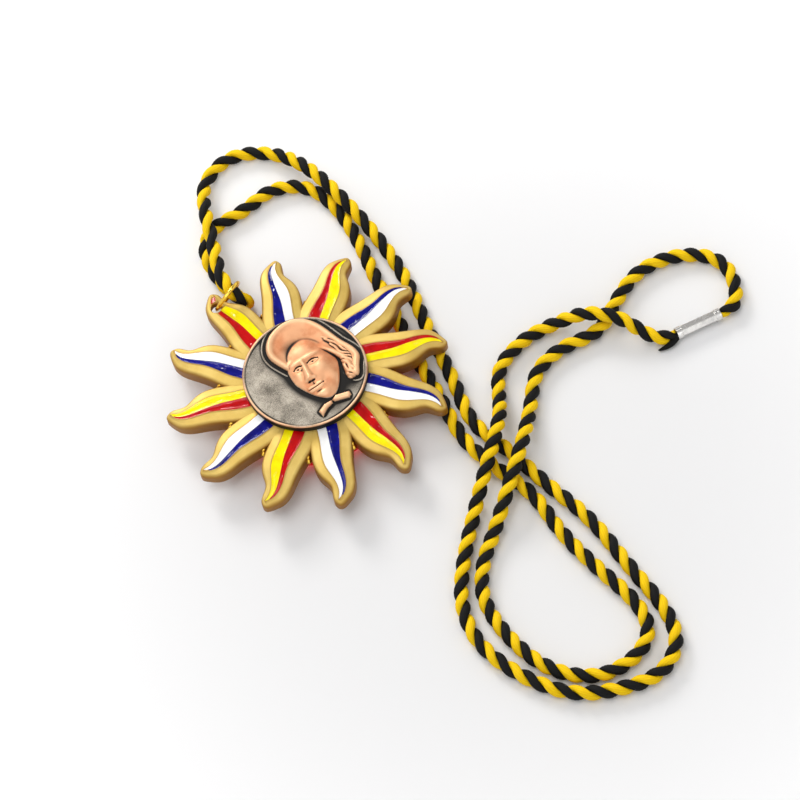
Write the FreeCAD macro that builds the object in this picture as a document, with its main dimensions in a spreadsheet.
"""Sunburst neck medal on a twisted two-colour cord, in millimetres.

The medal lies face up.  The origin is the centre of its back face, +Z is up and +Y runs from the
centre to the ray that carries the jump ring.  Twelve cast flame rays carry inlaid enamel strips, a
struck coin sits over their roots, and a bezel with bead claws holds the red backing disc behind.
The cord is one closed loop: it starts and ends in a crimp ferrule and passes through the jump ring.
"""
import FreeCAD
import Part
import math
import os

import Sketcher
from FreeCAD import Matrix, Placement, Rotation, Vector

os.makedirs("parts", exist_ok=True)
doc = FreeCAD.newDocument("SunburstMedal")

# ---------------------------------------------------------------------------------------------
# Driving dimensions
# ---------------------------------------------------------------------------------------------
SIZES = {
    # red backing disc and the bezel that holds it
    "disc_radius": 23.6,
    "disc_thickness": 2.8,
    "disc_edge_round": 0.9,
    "bezel_outer_radius": 22.6,
    "bezel_width": 4.1,
    "bezel_height": 2.8,
    "bezel_edge_round": 0.8,
    "claw_bead_radius": 0.95,
    "claw_bead_reach": 0.35,
    # cast sun plate
    "ray_count": 12,
    "ray_tip_radius": 41.5,
    "ray_root_radius": 15.0,
    "ray_width": 12.3,
    "plate_thickness": 5.4,
    "crown_length": 12.5,
    "crown_curve_radius": 45.6,
    "crown_overrun": 3.0,
    "plate_edge_round": 1.7,
    "hub_inset": 0.5,
    # inlaid enamel
    "enamel_depth": 2.2,
    "enamel_under_coin": 0.4,
    "enamel_left_inset": 2.2,
    "enamel_right_inset": 1.3,
    "enamel_gap": 0.03,
    "enamel_divider": 0.3,
    # eyelet in the ring ray
    "eyelet_across": -2.1,
    "eyelet_inset": 5.35,
    "eyelet_radius": 1.5,
    "eyelet_relief_depth": 2.6,
    "eyelet_relief_width": 5.2,
    "eyelet_wall_left": 0.6,
    "eyelet_wall_right": 0.2,
    "eyelet_wall_tip": 0.8,
    # coin
    "coin_radius": 18.0,
    "coin_thickness": 2.7,
    "coin_rim_width": 0.6,
    "coin_field_depth": 0.5,
    "hood_height": 0.9,
    "head_half_width": 6.9,
    "head_half_height": 10.4,
    "head_relief": 1.85,
    "head_across": 3.4,
    "head_along": -1.2,
    "head_lean": 13.0,
    "coin_edge_chamfer": 0.25,
    "coin_peg_radius": 1.2,
    "coin_peg_length": 2.0,
    "coin_peg_spread": 9.0,
    "coin_peg_gap": 0.05,
    # jump ring
    "ring_mean_radius": 4.95,
    "ring_wire_radius": 0.6,
    "ring_rise": 18.0,
    "ring_lean": 21.9,
    "ring_seat_across": 0.3,
    "ring_seat_along": 0.15,
    "ring_seat_rise": 0.5,
    "ring_split": 2.0,
    # cord, ferrule and what lies inside it
    "cord_diameter": 4.3,
    "ferrule_radius": 1.85,
    "ferrule_bore_radius": 1.45,
    "ferrule_lip": 0.12,
    "ferrule_lip_length": 1.6,
    "ferrule_flat_count": 6,
    "ferrule_flat_depth": 0.16,
    "cord_end_gap": 0.02,
    "cord_face_gap": 0.05,
}

sheet = doc.addObject("Spreadsheet::Sheet", "sizes")
for row, (name, value) in enumerate(SIZES.items(), start=1):
    sheet.set(f"A{row}", name)
    sheet.set(f"B{row}", str(value))
    sheet.setAlias(f"B{row}", name)
doc.recompute()


def size(name):
    """The value of a driving dimension, read back from the sheet."""
    return float(getattr(sheet, name))


PLATE_BASE = "sizes.disc_thickness + sizes.bezel_height"
PLATE_TOP = PLATE_BASE + " + sizes.plate_thickness"

plate_base = size("disc_thickness") + size("bezel_height")
plate_top = plate_base + size("plate_thickness")
cord_radius = size("cord_diameter") / 2
ray_count = int(size("ray_count"))
ray_step = 360.0 / ray_count

# Shape of one flame ray.  Each station is (share of the way from root to tip, share of the ray's
# width to the right of its centre line).  The outline runs up the left side, round the tip, which
# hooks to the right, and down the right side.
RAY_OUTLINE = [
    (0.000, -0.690), (0.264, -0.650), (0.491, -0.545), (0.642, -0.496), (0.792, -0.447),
    (0.891, -0.350), (0.966, -0.171), (1.004, 0.028), (0.955, 0.130), (0.887, 0.142),
    (0.792, 0.130), (0.679, 0.256), (0.566, 0.358), (0.415, 0.382), (0.264, 0.350), (0.000, 0.325),
]

# Edges of the two enamel strips of a ray, given in the same way.  The left strip lies between LEFT
# and MIDDLE, the right strip between MIDDLE and RIGHT.
ENAMEL_LEFT = [(0.0377, -0.3943), (0.2642, -0.3577), (0.4151, -0.2886), (0.5660, -0.2439),
               (0.7170, -0.2480), (0.8113, -0.2195), (0.8792, -0.1585), (0.9321, -0.0610)]
ENAMEL_MIDDLE = [(0.0377, -0.1301), (0.2642, -0.1138), (0.4151, -0.1016), (0.5660, -0.1260),
                 (0.7170, -0.1504), (0.8113, -0.1463), (0.8792, -0.1057), (0.9321, -0.0366)]
ENAMEL_RIGHT = [(0.0377, 0.0813), (0.2642, 0.0935), (0.4151, 0.1260), (0.5094, 0.1301),
                (0.6038, 0.0935), (0.7170, 0.0122), (0.8113, -0.0325), (0.8792, -0.0244),
                (0.9585, 0.0366)]

# Outline of the hood on the coin, in shares of the coin's radius.
HOOD_OUTLINE = [
    (-0.18, 0.18), (-0.23, 0.40), (-0.22, 0.62), (-0.13, 0.77), (0.03, 0.88), (0.24, 0.91), (0.46, 0.87),
    (0.62, 0.74), (0.73, 0.53), (0.77, 0.26), (0.80, -0.03), (0.83, -0.26), (0.79, -0.44), (0.66, -0.57),
    (0.53, -0.64), (0.44, -0.50), (0.40, -0.26), (0.20, 0.02),
]

# Heights of the ovals that the head is lofted through, in shares of its relief.
HEAD_SECTIONS = [0.0, 0.5, 0.8, 0.96]

# ---------------------------------------------------------------------------------------------
# Helpers for bodies, sketches and features
# ---------------------------------------------------------------------------------------------
nodes = []


def new_body(label):
    """A PartDesign body that becomes one sub-part of that name."""
    body = doc.addObject("PartDesign::Body", label)
    body.Label = label
    nodes.append(body)
    return body


def plane(body, role):
    """One of a body's own origin planes or axes."""
    return next(item for item in body.Origin.OriginFeatures if item.Role == role)


def new_sketch(body, name, role="XY_Plane", lift=None):
    """A sketch on an origin plane of the body, lifted by an expression in the sheet's names."""
    sketch = body.newObject("Sketcher::SketchObject", name)
    sketch.AttachmentSupport = [(plane(body, role), "")]
    sketch.MapMode = "FlatFace"
    if lift:
        sketch.setExpression("AttachmentOffset.Base.z", lift)
    return sketch


def add_circle(sketch, radius, centre=(0.0, 0.0)):
    """A circle whose radius is bound to an expression."""
    index = sketch.addGeometry(Part.Circle(Vector(centre[0], centre[1], 0), Vector(0, 0, 1), 1.0), False)
    constraint = sketch.addConstraint(Sketcher.Constraint("Radius", index, 1.0))
    sketch.setExpression(f"Constraints[{constraint}]", radius)


def add_polygon(sketch, points):
    """A closed polygon through the points."""
    corners = [Vector(x, y, 0) for x, y in points]
    for start, end in zip(corners, corners[1:] + corners[:1]):
        sketch.addGeometry(Part.LineSegment(start, end), False)


def add_feature(body, kind, name, sketch, **expressions):
    """A sketch-based feature with its sizes bound to expressions."""
    feature = body.newObject("PartDesign::" + kind, name)
    feature.Profile = sketch
    for key, expression in expressions.items():
        feature.setExpression(key, expression)
    return feature


def dress_edges(body, kind, name, pick, amount):
    """A fillet or chamfer on the edges of the body's tip that pick accepts."""
    doc.recompute()
    base = body.Tip
    names = [f"Edge{index}" for index, edge in enumerate(base.Shape.Edges, start=1) if pick(edge)]
    feature = body.newObject("PartDesign::" + kind, name)
    feature.Base = (base, names)
    feature.setExpression("Size" if kind == "Chamfer" else "Radius", amount)
    doc.recompute()


def pattern(body, name, originals, count):
    """A full-circle pattern about the body's Z axis."""
    turned = body.newObject("PartDesign::PolarPattern", name)
    turned.Originals = originals
    turned.Axis = (plane(body, "Z_Axis"), [""])
    turned.Angle = 360
    turned.Occurrences = count
    body.Tip = turned
    return turned


def part_node(label, shape):
    """A sub-part whose shape is made by Part's own functions."""
    item = doc.addObject("Part::Feature", label)
    item.Label = label
    item.Shape = shape
    nodes.append(item)
    return item


def crown_cut(body, name):
    """Turn the crown of the plate on a body: everything above the falling rim is cut away."""
    start = size("ray_tip_radius") - size("crown_length")
    curve = size("crown_curve_radius")
    end = size("ray_tip_radius") + size("crown_overrun")
    end_drop = curve - math.sqrt(curve**2 - (end - start) ** 2)
    middle_angle = math.asin((end - start) / curve) / 2
    middle = Vector(start + curve * math.sin(middle_angle), plate_top - curve * (1 - math.cos(middle_angle)), 0)
    above = plate_top + size("crown_overrun")
    sketch = new_sketch(body, name + "Profile", "XZ_Plane")
    rim_start = Vector(start, plate_top, 0)
    rim_end = Vector(end, plate_top - end_drop, 0)
    outer_top = Vector(end, above, 0)
    inner_top = Vector(start, above, 0)
    sketch.addGeometry(Part.Arc(rim_start, middle, rim_end), False)
    for first, second in ((rim_end, outer_top), (outer_top, inner_top), (inner_top, rim_start)):
        sketch.addGeometry(Part.LineSegment(first, second), False)
    groove = body.newObject("PartDesign::Groove", name)
    groove.Profile = sketch
    groove.ReferenceAxis = (plane(body, "Z_Axis"), [""])
    groove.Angle = 360
    return groove


# ---------------------------------------------------------------------------------------------
# Outlines of the ray and of the enamel strips
# ---------------------------------------------------------------------------------------------
def spline(points):
    """A smooth curve through the points, each (right, along)."""
    curve = Part.BSplineCurve()
    curve.interpolate([Vector(x, y, 0) for x, y in points])
    return curve


def on_ray(stations, shift=0.0):
    """Plane points of stations on the ray, moved to the right by shift."""
    root = size("ray_root_radius")
    reach = size("ray_tip_radius") - root
    width = size("ray_width")
    return [(across * width + shift, root + along * reach) for along, across in stations]


def ray_outline():
    """The flame's curved side and tip, and the straight root that closes it."""
    points = on_ray(RAY_OUTLINE)
    closing = Part.LineSegment(Vector(*points[-1], 0), Vector(*points[0], 0))
    return [spline(points), closing]


def edge_curve(stations, shift, start, stop):
    """An enamel edge moved sideways by shift and kept between two distances from the centre."""
    curve = spline(on_ray(stations, shift))

    def parameter_at(along):
        low, high = curve.FirstParameter, curve.LastParameter
        for _ in range(50):
            middle = (low + high) / 2
            if curve.value(middle).y < along:
                low = middle
            else:
                high = middle
        return (low + high) / 2

    curve.segment(parameter_at(start), parameter_at(stop))
    return curve


def strip_outline(left, right, left_shift, right_shift, start, stop):
    """Closed outline of an enamel strip between two edges and two distances from the centre."""
    first = edge_curve(left, left_shift, start, stop)
    second = edge_curve(right, right_shift, start, stop)
    outer = Part.LineSegment(first.EndPoint, second.EndPoint)
    inner = Part.LineSegment(second.StartPoint, first.StartPoint)
    return [first, outer, second, inner]


def left_strip(gap, start, stop):
    """Outline of the strip on a ray's left, smaller by gap on every side."""
    half_line = size("enamel_divider") / 2
    return strip_outline(ENAMEL_LEFT, ENAMEL_MIDDLE, gap, -half_line - gap, start + gap, stop - gap)


def right_strip(gap, start, stop):
    """Outline of the strip on a ray's right, smaller by gap on every side."""
    half_line = size("enamel_divider") / 2
    return strip_outline(ENAMEL_MIDDLE, ENAMEL_RIGHT, half_line + gap, -gap, start + gap, stop - gap)


# Where the strips of the ring ray stop short of the eyelet, and where the outer piece starts again.
eyelet_along = size("ray_tip_radius") - size("eyelet_inset")
inner_left_stop = eyelet_along - size("eyelet_radius") - size("eyelet_wall_left")
inner_right_stop = eyelet_along - size("eyelet_radius") - size("eyelet_wall_right")
outer_left_start = eyelet_along + size("eyelet_radius") + size("eyelet_wall_tip")
enamel_start = size("coin_radius") - size("enamel_under_coin")
left_strip_end = size("ray_tip_radius") - size("enamel_left_inset")
right_strip_end = size("ray_tip_radius") - size("enamel_right_inset")


def enamel_pieces():
    """Every enamel piece as (name, outline maker, start, stop, ray number clockwise from the ring ray)."""
    pieces = [
        ("enamel_red_01_inner", left_strip, enamel_start, inner_left_stop, 0),
        ("enamel_red_01_tip", left_strip, outer_left_start, left_strip_end, 0),
        ("enamel_yellow_01", right_strip, enamel_start, inner_right_stop, 0),
    ]
    for ray in range(1, ray_count):
        left_colour, right_colour = ("blue", "white") if ray % 2 else ("red", "yellow")
        number = f"{ray + 1:02d}"
        pieces.append((f"enamel_{left_colour}_{number}", left_strip, enamel_start, left_strip_end, ray))
        pieces.append((f"enamel_{right_colour}_{number}", right_strip, enamel_start, right_strip_end, ray))
    return pieces


# ---------------------------------------------------------------------------------------------
# Backing disc and bezel
# ---------------------------------------------------------------------------------------------
def make_backing_disc():
    """The round red disc that the medal rests on, with softened edges."""
    body = new_body("backing_disc")
    sketch = new_sketch(body, "DiscOutline")
    add_circle(sketch, "sizes.disc_radius")
    add_feature(body, "Pad", "DiscPad", sketch, Length="sizes.disc_thickness")
    dress_edges(body, "Fillet", "DiscEdges", rim_test(size("disc_radius")), "sizes.disc_edge_round")


def rim_test(radius, height=None):
    """A test for circular edges of that radius, at one height if it is given."""

    def accept(edge):
        if not isinstance(edge.Curve, Part.Circle) or abs(edge.Curve.Radius - radius) > 1e-4:
            return False
        return height is None or abs(edge.CenterOfMass.z - height) < 1e-4

    return accept


def make_bezel():
    """The polished ring between disc and plate, with a bead claw in every notch of the sun."""
    body = new_body("rear_bezel")
    sketch = new_sketch(body, "BezelOutline", lift="sizes.disc_thickness")
    add_circle(sketch, "sizes.bezel_outer_radius")
    add_circle(sketch, "sizes.bezel_outer_radius - sizes.bezel_width")
    add_feature(body, "Pad", "BezelPad", sketch, Length="sizes.bezel_height")
    lower_rim = rim_test(size("bezel_outer_radius"), size("disc_thickness"))
    dress_edges(body, "Fillet", "BezelEdges", lower_rim, "sizes.bezel_edge_round")
    bead = body.newObject("PartDesign::AdditiveSphere", "ClawBead")
    notch = math.radians(90 - ray_step / 2)
    reach = size("bezel_outer_radius") + size("claw_bead_reach")
    height = size("disc_thickness") + size("claw_bead_radius") + 0.1
    bead.setExpression("Radius", "sizes.claw_bead_radius")
    bead.AttachmentSupport = [(plane(body, "XY_Plane"), "")]
    bead.MapMode = "FlatFace"
    bead.AttachmentOffset = Placement(Vector(reach * math.cos(notch), reach * math.sin(notch), height), Rotation())
    doc.recompute()
    pattern(body, "ClawBeads", [bead], ray_count)


# ---------------------------------------------------------------------------------------------
# Sun plate
# ---------------------------------------------------------------------------------------------
def make_sun_plate():
    """The casting: twelve crowned flame rays on a hub, with enamel cells, eyelet and coin seats."""
    body = new_body("sun_plate")
    sketch = new_sketch(body, "RayOutline", lift=PLATE_BASE)
    for curve in ray_outline():
        sketch.addGeometry(curve, False)
    add_feature(body, "Pad", "RayPad", sketch, Length="sizes.plate_thickness")
    crown_cut(body, "RayCrown")
    dress_edges(body, "Fillet", "RayFlanks", is_flank_edge, "sizes.plate_edge_round")
    rays = body.newObject("PartDesign::PolarPattern", "Rays")
    rays.TransformMode = "Whole shape"
    rays.Axis = (plane(body, "Z_Axis"), [""])
    rays.Angle = 360
    rays.Occurrences = ray_count
    body.Tip = rays
    doc.recompute()
    hub = new_sketch(body, "HubOutline", lift=PLATE_BASE)
    add_circle(hub, "sizes.coin_radius - sizes.hub_inset")
    add_feature(body, "Pad", "HubPad", hub, Length="sizes.plate_thickness")
    doc.recompute()
    cut_enamel_cells(body)
    cut_eyelet(body)
    cut_coin_seats(body)


def is_flank_edge(edge):
    """Whether an edge of the first ray runs along its top and belongs to the flame's outline."""
    box = edge.BoundBox
    half_way = plate_base + size("plate_thickness") / 2
    beyond_root = box.YMax > size("ray_root_radius") + size("ray_width") / 10
    over_the_ray = isinstance(edge.Curve, Part.Circle)
    return box.ZMin > half_way and beyond_root and not over_the_ray


def cut_enamel_cells(body):
    """Pockets for all enamel pieces, cut from above the plate down to one level floor."""
    sketch = new_sketch(body, "EnamelCells", lift=PLATE_TOP)
    for _, outline, start, stop, ray in enamel_pieces():
        turn = Matrix()
        turn.rotateZ(math.radians(-ray_step * ray))
        for curve in outline(0.0, start, stop):
            curve.transform(turn)
            sketch.addGeometry(curve, False)
    add_feature(body, "Pocket", "EnamelPockets", sketch, Length="sizes.enamel_depth")
    doc.recompute()


def cut_eyelet(body):
    """The hole for the jump ring, and the relief below it that leaves a thin web for the ring."""
    centre = (size("eyelet_across"), eyelet_along)
    hole = new_sketch(body, "EyeletHole", lift=PLATE_TOP)
    add_circle(hole, "sizes.eyelet_radius", centre)
    add_feature(body, "Pocket", "EyeletPocket", hole, Length="sizes.plate_thickness")
    relief = new_sketch(body, "EyeletRelief", lift=PLATE_BASE)
    left = centre[0] - size("eyelet_radius")
    right = size("ray_width") / 2
    low = centre[1] - 0.38 * size("eyelet_relief_width")
    high = low + size("eyelet_relief_width")
    add_polygon(relief, [(left, low), (right, low), (right, high), (left, high)])
    cut = add_feature(body, "Pocket", "EyeletReliefPocket", relief,
                      Length="sizes.eyelet_relief_depth")
    cut.Reversed = True
    doc.recompute()


def cut_coin_seats(body):
    """Two blind holes in the hub for the pegs on the back of the coin."""
    sketch = new_sketch(body, "CoinSeats", lift=PLATE_TOP)
    for side in (-1, 1):
        add_circle(sketch, "sizes.coin_peg_radius + sizes.coin_peg_gap", (side * size("coin_peg_spread"), 0.0))
    add_feature(body, "Pocket", "CoinSeatPockets", sketch, Length="sizes.coin_peg_length + sizes.coin_peg_gap")
    doc.recompute()


def make_enamel(name, outline, start, stop, ray):
    """One fired enamel piece, filling its cell up to the crowned face of the plate."""
    body = new_body(name)
    sketch = new_sketch(body, name + "_outline", lift=PLATE_TOP + " - sizes.enamel_depth + sizes.enamel_gap")
    for curve in outline(size("enamel_gap"), start, stop):
        sketch.addGeometry(curve, False)
    add_feature(body, "Pad", name + "_pad", sketch, Length="sizes.enamel_depth - sizes.enamel_gap")
    crown_cut(body, name + "_crown")
    body.Placement = Placement(Vector(0, 0, 0), Rotation(Vector(0, 0, 1), -ray_step * ray))


# ---------------------------------------------------------------------------------------------
# Coin
# ---------------------------------------------------------------------------------------------
def make_coin():
    """The struck coin: raised rim, sunk field, chamfered edge and two pegs on its back."""
    body = new_body("medallion_coin")
    blank = new_sketch(body, "CoinBlank", lift=PLATE_TOP)
    add_circle(blank, "sizes.coin_radius")
    add_feature(body, "Pad", "CoinPad", blank, Length="sizes.coin_thickness")
    top_rim = rim_test(size("coin_radius"), plate_top + size("coin_thickness"))
    dress_edges(body, "Chamfer", "CoinEdge", top_rim, "sizes.coin_edge_chamfer")
    field = new_sketch(body, "CoinField", lift=PLATE_TOP + " + sizes.coin_thickness")
    add_circle(field, "sizes.coin_radius - sizes.coin_rim_width")
    add_feature(body, "Pocket", "CoinFieldPocket", field, Length="sizes.coin_field_depth")
    add_portrait(body)
    pegs = new_sketch(body, "CoinPegs", lift=PLATE_TOP)
    for side in (-1, 1):
        add_circle(pegs, "sizes.coin_peg_radius", (side * size("coin_peg_spread"), 0.0))
    peg_pad = add_feature(body, "Pad", "CoinPegPads", pegs, Length="sizes.coin_peg_length")
    peg_pad.Reversed = True
    doc.recompute()


def add_portrait(body):
    """The main forms of the relief: the hood and the swelling of the head under it."""
    level = PLATE_TOP + " + sizes.coin_thickness - sizes.coin_field_depth"
    hood = new_sketch(body, "HoodOutline", lift=level)
    outline = Part.BSplineCurve()
    radius = size("coin_radius")
    corners = [Vector(x * radius, y * radius, 0) for x, y in HOOD_OUTLINE]
    outline.interpolate(Points=corners, PeriodicFlag=True)
    hood.addGeometry(outline, False)
    add_feature(body, "Pad", "HoodPad", hood, Length="sizes.hood_height")
    sections = [head_section(body, level, share) for share in HEAD_SECTIONS]
    head = body.newObject("PartDesign::AdditiveLoft", "Head")
    head.Profile = sections[0]
    head.Sections = sections[1:]
    head.Ruled = False
    doc.recompute()


def head_section(body, level, share):
    """An upright oval through the head at a share of its relief above the field."""
    sketch = new_sketch(body, f"HeadSection{round(share * 100)}", lift=f"{level} + sizes.head_relief * {share}")
    scale = math.sqrt(1 - share**2)
    lean = math.radians(90 - size("head_lean"))
    centre = Vector(size("head_across"), size("head_along"), 0)
    upward = Vector(math.cos(lean), math.sin(lean), 0)
    aside = Vector(math.sin(lean), -math.cos(lean), 0)
    tall = centre + upward * size("head_half_height") * scale
    wide = centre + aside * size("head_half_width") * scale
    sketch.addGeometry(Part.Ellipse(tall, wide, centre), False)
    return sketch


# ---------------------------------------------------------------------------------------------
# Jump ring
# ---------------------------------------------------------------------------------------------
def ring_axes():
    """The ring's long axis, which points up and to the right, and the normal of its plane."""
    rise = math.radians(size("ring_rise"))
    along = Vector(math.cos(rise), 0.045, math.sin(rise)).normalize()
    lean = math.radians(size("ring_lean"))
    upward = Vector(0, -math.sin(lean), math.cos(lean))
    normal = along.cross(upward).normalize()
    return along, normal


def make_jump_ring():
    """A round-wire split ring through the eyelet and round the ray's right edge."""
    along, normal = ring_axes()
    ring = doc.addObject("Part::Torus", "jump_ring")
    ring.Label = "jump_ring"
    ring.setExpression("Radius1", "sizes.ring_mean_radius")
    ring.setExpression("Radius2", "sizes.ring_wire_radius")
    ring.setExpression("Angle3", "360 - sizes.ring_split")
    turn = Rotation(along, Vector(), normal, "ZXY")
    ring.Placement = Placement(ring_centre(), turn)
    nodes.append(ring)


def ring_centre():
    """The middle of the jump ring, one mean radius from the wire inside the eyelet."""
    along, _ = ring_axes()
    across = size("eyelet_across") + size("ring_seat_across")
    outward = eyelet_along + size("ring_seat_along")
    height = plate_base + size("eyelet_relief_depth") + size("ring_seat_rise")
    return Vector(across, outward, height) + along * size("ring_mean_radius")


# ---------------------------------------------------------------------------------------------
# Cord and ferrule
# ---------------------------------------------------------------------------------------------
FLOOR = cord_radius          # centre line of a stretch that lies on the surface
OVER = 6.9                   # centre line of a stretch that passes over another one
CORD_ROUTE = [
    (84.4, -65.0, FLOOR), (79.9, -63.4, FLOOR), (77.6, -57.0, 4.0), (75.6, -50.9, OVER),
    (70.6, -42.8, OVER), (62.5, -36.4, FLOOR), (53.0, -33.6, FLOOR), (41.5, -35.0, FLOOR),
    (35.0, -42.4, FLOOR), (29.0, -49.0, OVER), (14.5, -57.4, OVER), (4.5, -62.6, FLOOR),
    (-8.5, -71.0, FLOOR), (-18.5, -80.0, FLOOR), (-23.5, -92.0, FLOOR), (-22.0, -107.5, FLOOR),
    (-16.0, -121.5, FLOOR), (-4.7, -130.4, FLOOR), (5.4, -134.5, FLOOR), (15.0, -131.2, FLOOR),
    (19.8, -121.5, FLOOR), (21.8, -106.5, FLOOR), (25.5, -88.0, FLOOR), (24.6, -71.0, FLOOR),
    (25.2, -55.5, FLOOR), (23.7, -42.0, FLOOR), (30.8, -27.7, FLOOR), (37.3, -10.5, FLOOR),
    (45.3, 6.5, FLOOR), (48.9, 22.0, 3.2), (50.2, 37.0, 6.3), (51.0, 54.0, 6.3),
    (48.5, 68.0, FLOOR), (38.8, 76.8, FLOOR), (26.8, 75.3, FLOOR), (18.8, 64.5, OVER),
    (13.4, 55.0, 7.3), (8.4, 47.2, 10.4), (4.9, 40.6, 11.9), (4.5, 34.4, 10.4),
    (6.9, 32.6, 6.0), (7.7, 35.5, FLOOR), (6.7, 42.0, FLOOR), (7.8, 49.5, FLOOR),
    (10.8, 57.6, FLOOR), (18.0, 61.8, FLOOR), (28.0, 58.7, FLOOR), (39.5, 58.6, FLOOR),
    (48.0, 50.7, FLOOR), (48.3, 38.0, FLOOR), (44.0, 24.3, FLOOR), (38.3, 11.5, FLOOR),
    (34.0, -1.5, FLOOR), (28.3, -14.5, FLOOR), (24.3, -28.5, FLOOR), (18.4, -43.5, FLOOR),
    (18.6, -58.0, FLOOR), (20.2, -70.5, FLOOR), (16.5, -84.5, FLOOR), (15.6, -99.0, FLOOR),
    (15.8, -114.5, FLOOR), (12.2, -123.4, FLOOR), (3.2, -126.2, FLOOR), (-8.0, -122.7, FLOOR),
    (-15.5, -111.5, FLOOR), (-16.4, -97.0, FLOOR), (-13.2, -83.0, FLOOR), (-5.0, -75.2, FLOOR),
    (4.5, -70.8, FLOOR), (15.0, -66.0, OVER), (29.0, -58.3, OVER), (39.0, -51.0, FLOOR),
    (48.0, -43.6, FLOOR), (59.0, -43.6, FLOOR), (70.0, -48.6, FLOOR), (81.0, -44.6, FLOOR),
    (92.0, -42.2, FLOOR), (103.0, -46.4, FLOOR), (109.8, -53.8, FLOOR), (110.8, -61.0, FLOOR),
    (107.2, -67.3, FLOOR), (102.4, -71.5, FLOOR), (97.7, -69.8, FLOOR),
]
ARC_SHARE = 0.45


def cord_path():
    """Straight runs joined by tangent arcs, as one wire; each radius is printed."""
    points = [Vector(*point) for point in CORD_ROUTE]
    edges = []
    reached = points[0]
    for index in range(1, len(points) - 1):
        before, corner, after = points[index - 1 : index + 2]
        inward = (corner - before).normalize()
        outward = (after - corner).normalize()
        turn = inward.getAngle(outward)
        setback = ARC_SHARE * min((corner - before).Length, (after - corner).Length)
        radius = setback / math.tan(turn / 2)
        arc_start = corner - inward * setback
        arc_end = corner + outward * setback
        bisector = (outward - inward).normalize()
        sagitta = radius * (1 / math.cos(turn / 2) - 1)
        arc_middle = corner + bisector * sagitta
        if (arc_start - reached).Length > 1e-6:
            edges.append(Part.LineSegment(reached, arc_start).toShape())
        edges.append(Part.Arc(arc_start, arc_middle, arc_end).toShape())
        reached = arc_end
        print(f"cord point {index}: turn {math.degrees(turn):.0f} degrees, radius {radius:.1f} mm")
    edges.append(Part.LineSegment(reached, points[-1]).toShape())
    return Part.Wire(edges)


def make_cord():
    """The cord as a plain tube along its path."""
    path = cord_path()
    start = Vector(*CORD_ROUTE[0])
    direction = Vector(*CORD_ROUTE[1]) - start
    section = Part.Wire([Part.Circle(start, direction, cord_radius).toShape()])
    tube = path.makePipeShell([section], True, False)
    expected = math.pi * cord_radius**2 * path.Length
    print(f"cord length {path.Length:.1f} mm, volume {tube.Volume:.0f} of {expected:.0f} mm3")
    if abs(tube.Volume / expected - 1) > 0.01:
        raise RuntimeError("cord tube volume is wrong")
    part_node("neck_cord", tube)


def ferrule_frame():
    """Placement with +Z along the ferrule from the cord's first end, and the ferrule's length."""
    start = Vector(*CORD_ROUTE[0])
    end = Vector(*CORD_ROUTE[-1])
    along = (end - start).normalize()
    gap = size("cord_face_gap")
    placement = Placement(start + along * gap, Rotation(Vector(0, 0, 1), along))
    return placement, (end - start).Length - 2 * gap


def make_ferrule():
    """The nickel crimp tube: a bored sleeve with lips at its mouths and pressed flats between."""
    placement, length = ferrule_frame()
    radius = size("ferrule_radius")
    bore = size("ferrule_bore_radius")
    lip = size("ferrule_lip")
    mouth = size("ferrule_lip_length")
    body = new_body("cord_ferrule")
    sketch = new_sketch(body, "FerruleProfile", "XZ_Plane")
    profile = [(bore, 0.0), (radius, 0.0), (radius, mouth), (radius - lip, mouth + lip),
               (radius - lip, length - mouth - lip), (radius, length - mouth), (radius, length), (bore, length)]
    add_polygon(sketch, profile)
    sleeve = body.newObject("PartDesign::Revolution", "FerruleSleeve")
    sleeve.Profile = sketch
    sleeve.ReferenceAxis = (plane(body, "Z_Axis"), [""])
    sleeve.Angle = 360
    doc.recompute()
    flat = new_sketch(body, "FerruleFlat", "YZ_Plane")
    inner = radius - lip - size("ferrule_flat_depth")
    low, high = mouth + 2 * lip, length - mouth - 2 * lip
    add_polygon(flat, [(inner, low), (radius + lip, low), (radius + lip, high), (inner, high)])
    press = add_feature(body, "Pocket", "FerrulePress", flat)
    press.Type = "Length"
    press.Length = 2 * radius
    press.Midplane = True
    doc.recompute()
    pattern(body, "FerruleFlats", [press], int(size("ferrule_flat_count")))
    body.Placement = placement


def make_cord_ends():
    """The two cord ends pressed together inside the ferrule."""
    placement, length = ferrule_frame()
    ends = doc.addObject("Part::Cylinder", "cord_ends")
    ends.Label = "cord_ends"
    ends.setExpression("Radius", "sizes.ferrule_bore_radius - sizes.cord_end_gap")
    ends.Height = length
    ends.Placement = placement
    nodes.append(ends)


# ---------------------------------------------------------------------------------------------
# Build, check and write
# ---------------------------------------------------------------------------------------------
make_backing_disc()
make_bezel()
make_sun_plate()
for piece in enamel_pieces():
    make_enamel(*piece)
make_coin()
make_jump_ring()
make_cord()
make_ferrule()
make_cord_ends()
doc.recompute()

for item in doc.Objects:
    if "Invalid" in item.State or "Error" in item.State:
        raise RuntimeError(f"{item.Name} failed: {item.State}")
for node in nodes:
    shape = node.Shape
    if shape.isNull() or not shape.isValid() or not shape.Solids:
        raise RuntimeError(f"{node.Label} has no valid solid")
    print(f"{node.Label}: {len(shape.Solids)} solid, {shape.Volume:.1f} mm3")
    shape.exportStep(f"parts/{node.Label}.step")
